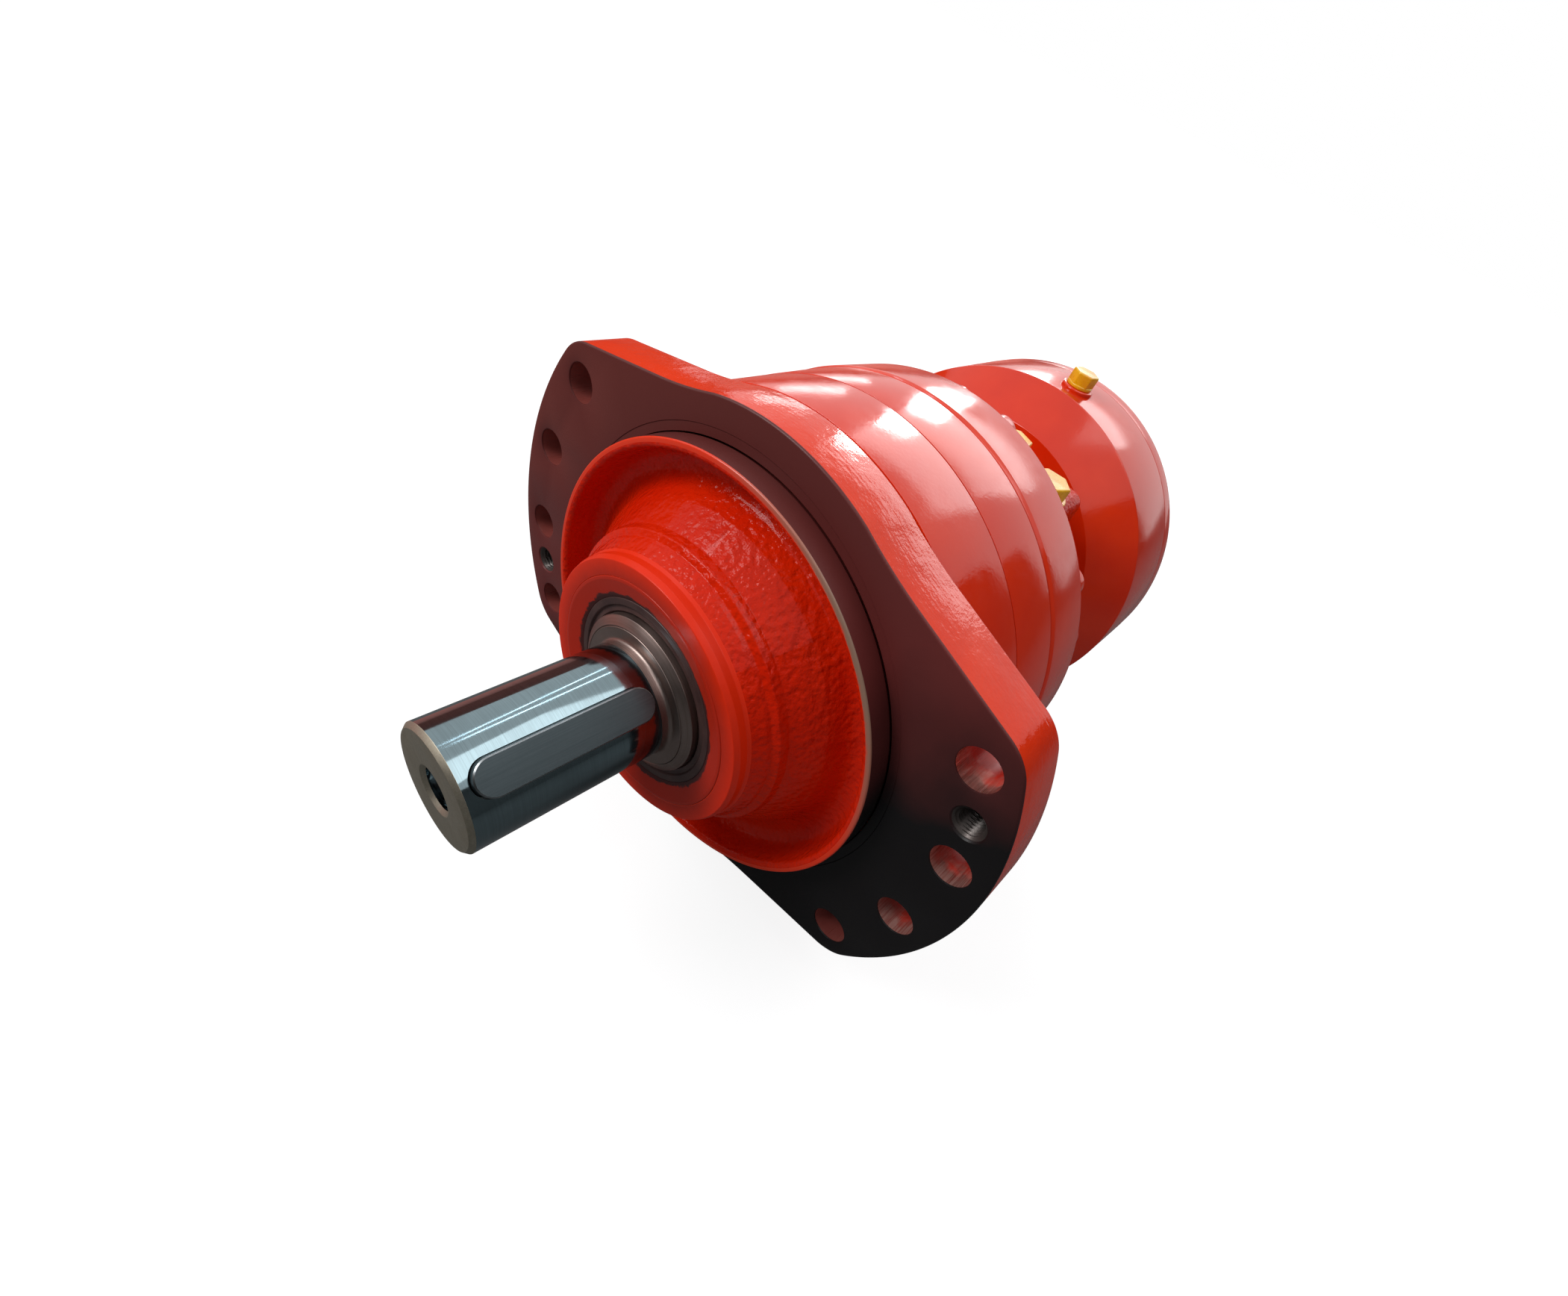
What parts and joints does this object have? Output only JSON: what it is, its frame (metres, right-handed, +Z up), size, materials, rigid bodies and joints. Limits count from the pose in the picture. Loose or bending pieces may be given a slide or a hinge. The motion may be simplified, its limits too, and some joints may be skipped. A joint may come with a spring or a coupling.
{
  "type": "hydraulic piston motor",
  "caption": "Slow radial piston hydraulic motor with a two-sided mounting flange, a dished nose, a keyed shaft and a drum-shaped parking brake behind it.",
  "frame": {"origin": "centre of the flange's mounting face", "axes": "+X along the shaft towards its free end, +Y along the flange's long axis, +Z up, on the side with the ports"},
  "size_m": [0.415, 0.302, 0.2347],
  "materials": {
    "red_paint": "glossy orange-red enamel over grey cast iron",
    "bare_steel": "ground and turned steel",
    "bearing_steel": "hardened and ground bearing steel",
    "black_steel": "black oxide screws, nut and springs",
    "block_iron": "machined cast iron",
    "seal_rubber": "matt nitrile rubber",
    "friction_bronze": "sintered bronze facing on a steel disc",
    "yellow_plastic": "moulded yellow transport plug"
  },
  "bodies": {
    "housing": {"bearing_support": "red_paint", "seal_carrier": "red_paint", "shaft_seal": "seal_rubber", "front_bearing_cup": "bearing_steel", "rear_bearing_cup": "bearing_steel", "cam_ring": "red_paint", "body_o_rings": "seal_rubber", "valve_cover": "red_paint", "distributor": "block_iron", "distributor_seals": "seal_rubber", "distributor_spring": "black_steel", "housing_screws": "red_paint", "brake_housing": "red_paint", "brake_shaft_seal": "seal_rubber", "brake_housing_screws": "black_steel", "brake_fixed_discs": "bare_steel", "brake_cover": "red_paint", "brake_cover_screws": "red_paint", "port_plug_a": "yellow_plastic", "port_plug_b": "yellow_plastic", "brake_port_plug": "yellow_plastic", "brake_spring": "black_steel"},
    "shaft": {"drive_shaft": "bare_steel", "shaft_key": "bare_steel", "seal_sleeve": "bare_steel", "front_bearing_cone": "bearing_steel", "rear_bearing_cone": "bearing_steel", "bearing_nut": "black_steel", "cylinder_block": "block_iron", "brake_shaft": "bare_steel", "brake_turning_discs": "friction_bronze"},
    "front_roller_set": {"front_roller_cage": "bare_steel", "front_rollers": "bearing_steel"},
    "rear_roller_set": {"rear_roller_cage": "bare_steel", "rear_rollers": "bearing_steel"},
    "brake_piston": {"brake_piston": "bare_steel", "brake_piston_seals": "seal_rubber"},
    "piston_1": {"piston_1": "bare_steel"},
    "roller_1": {"roller_1": "bearing_steel"},
    "piston_2": {"piston_2": "bare_steel"},
    "roller_2": {"roller_2": "bearing_steel"},
    "piston_3": {"piston_3": "bare_steel"},
    "roller_3": {"roller_3": "bearing_steel"},
    "piston_4": {"piston_4": "bare_steel"},
    "roller_4": {"roller_4": "bearing_steel"},
    "piston_5": {"piston_5": "bare_steel"},
    "roller_5": {"roller_5": "bearing_steel"},
    "piston_6": {"piston_6": "bare_steel"},
    "roller_6": {"roller_6": "bearing_steel"},
    "piston_7": {"piston_7": "bare_steel"},
    "roller_7": {"roller_7": "bearing_steel"},
    "piston_8": {"piston_8": "bare_steel"},
    "roller_8": {"roller_8": "bearing_steel"}
  },
  "joints": [
    {"name": "shaft_spin", "type": "hinge", "parent": "housing", "child": "shaft", "pos_m": [0, 0, 0], "axis": [1, 0, 0], "continuous": true},
    {"name": "front_roller_set_spin", "type": "hinge", "parent": "housing", "child": "front_roller_set", "pos_m": [0, 0, 0], "axis": [1, 0, 0], "continuous": true},
    {"name": "rear_roller_set_spin", "type": "hinge", "parent": "housing", "child": "rear_roller_set", "pos_m": [0, 0, 0], "axis": [1, 0, 0], "continuous": true},
    {"name": "piston_1_slide", "type": "slide", "parent": "shaft", "child": "piston_1", "axis": [0, 1, 0], "range_m": [0, 0.0072]},
    {"name": "roller_1_spin", "type": "hinge", "parent": "piston_1", "child": "roller_1", "pos_m": [-0.0805, 0.0686, 0], "axis": [1, 0, 0], "continuous": true},
    {"name": "piston_2_slide", "type": "slide", "parent": "shaft", "child": "piston_2", "axis": [0, 0.7071, 0.7071], "range_m": [0, 0.0072]},
    {"name": "roller_2_spin", "type": "hinge", "parent": "piston_2", "child": "roller_2", "pos_m": [-0.0805, 0.04851, 0.04851], "axis": [1, 0, 0], "continuous": true},
    {"name": "piston_3_slide", "type": "slide", "parent": "shaft", "child": "piston_3", "axis": [0, 0, 1], "range_m": [0, 0.00155]},
    {"name": "roller_3_spin", "type": "hinge", "parent": "piston_3", "child": "roller_3", "pos_m": [-0.0805, 0, 0.0686], "axis": [1, 0, 0], "continuous": true},
    {"name": "piston_4_slide", "type": "slide", "parent": "shaft", "child": "piston_4", "axis": [0, -0.7071, 0.7071], "range_m": [0, 0.00155]},
    {"name": "roller_4_spin", "type": "hinge", "parent": "piston_4", "child": "roller_4", "pos_m": [-0.0805, -0.04851, 0.04851], "axis": [1, 0, 0], "continuous": true},
    {"name": "piston_5_slide", "type": "slide", "parent": "shaft", "child": "piston_5", "axis": [0, -1, 0], "range_m": [0, 0.0072]},
    {"name": "roller_5_spin", "type": "hinge", "parent": "piston_5", "child": "roller_5", "pos_m": [-0.0805, -0.0686, 0], "axis": [1, 0, 0], "continuous": true},
    {"name": "piston_6_slide", "type": "slide", "parent": "shaft", "child": "piston_6", "axis": [0, -0.7071, -0.7071], "range_m": [0, 0.0072]},
    {"name": "roller_6_spin", "type": "hinge", "parent": "piston_6", "child": "roller_6", "pos_m": [-0.0805, -0.04851, -0.04851], "axis": [1, 0, 0], "continuous": true},
    {"name": "piston_7_slide", "type": "slide", "parent": "shaft", "child": "piston_7", "axis": [0, 0, -1], "range_m": [0, 0.00155]},
    {"name": "roller_7_spin", "type": "hinge", "parent": "piston_7", "child": "roller_7", "pos_m": [-0.0805, 0, -0.0686], "axis": [1, 0, 0], "continuous": true},
    {"name": "piston_8_slide", "type": "slide", "parent": "shaft", "child": "piston_8", "axis": [0, 0.7071, -0.7071], "range_m": [0, 0.00155]},
    {"name": "roller_8_spin", "type": "hinge", "parent": "piston_8", "child": "roller_8", "pos_m": [-0.0805, 0.04851, -0.04851], "axis": [1, 0, 0], "continuous": true},
    {"name": "brake_release", "type": "slide", "parent": "housing", "child": "brake_piston", "axis": [-1, 0, 0], "range_m": [0, 0.0025], "stiffness_N_per_m": 400000, "springref_m": -0.01, "deforming": ["brake_spring"]}
  ],
  "couplings": [
    {"joint": "front_roller_set_spin", "follows": "shaft_spin", "ratio": 0.449},
    {"joint": "rear_roller_set_spin", "follows": "shaft_spin", "ratio": 0.4292}
  ]
}
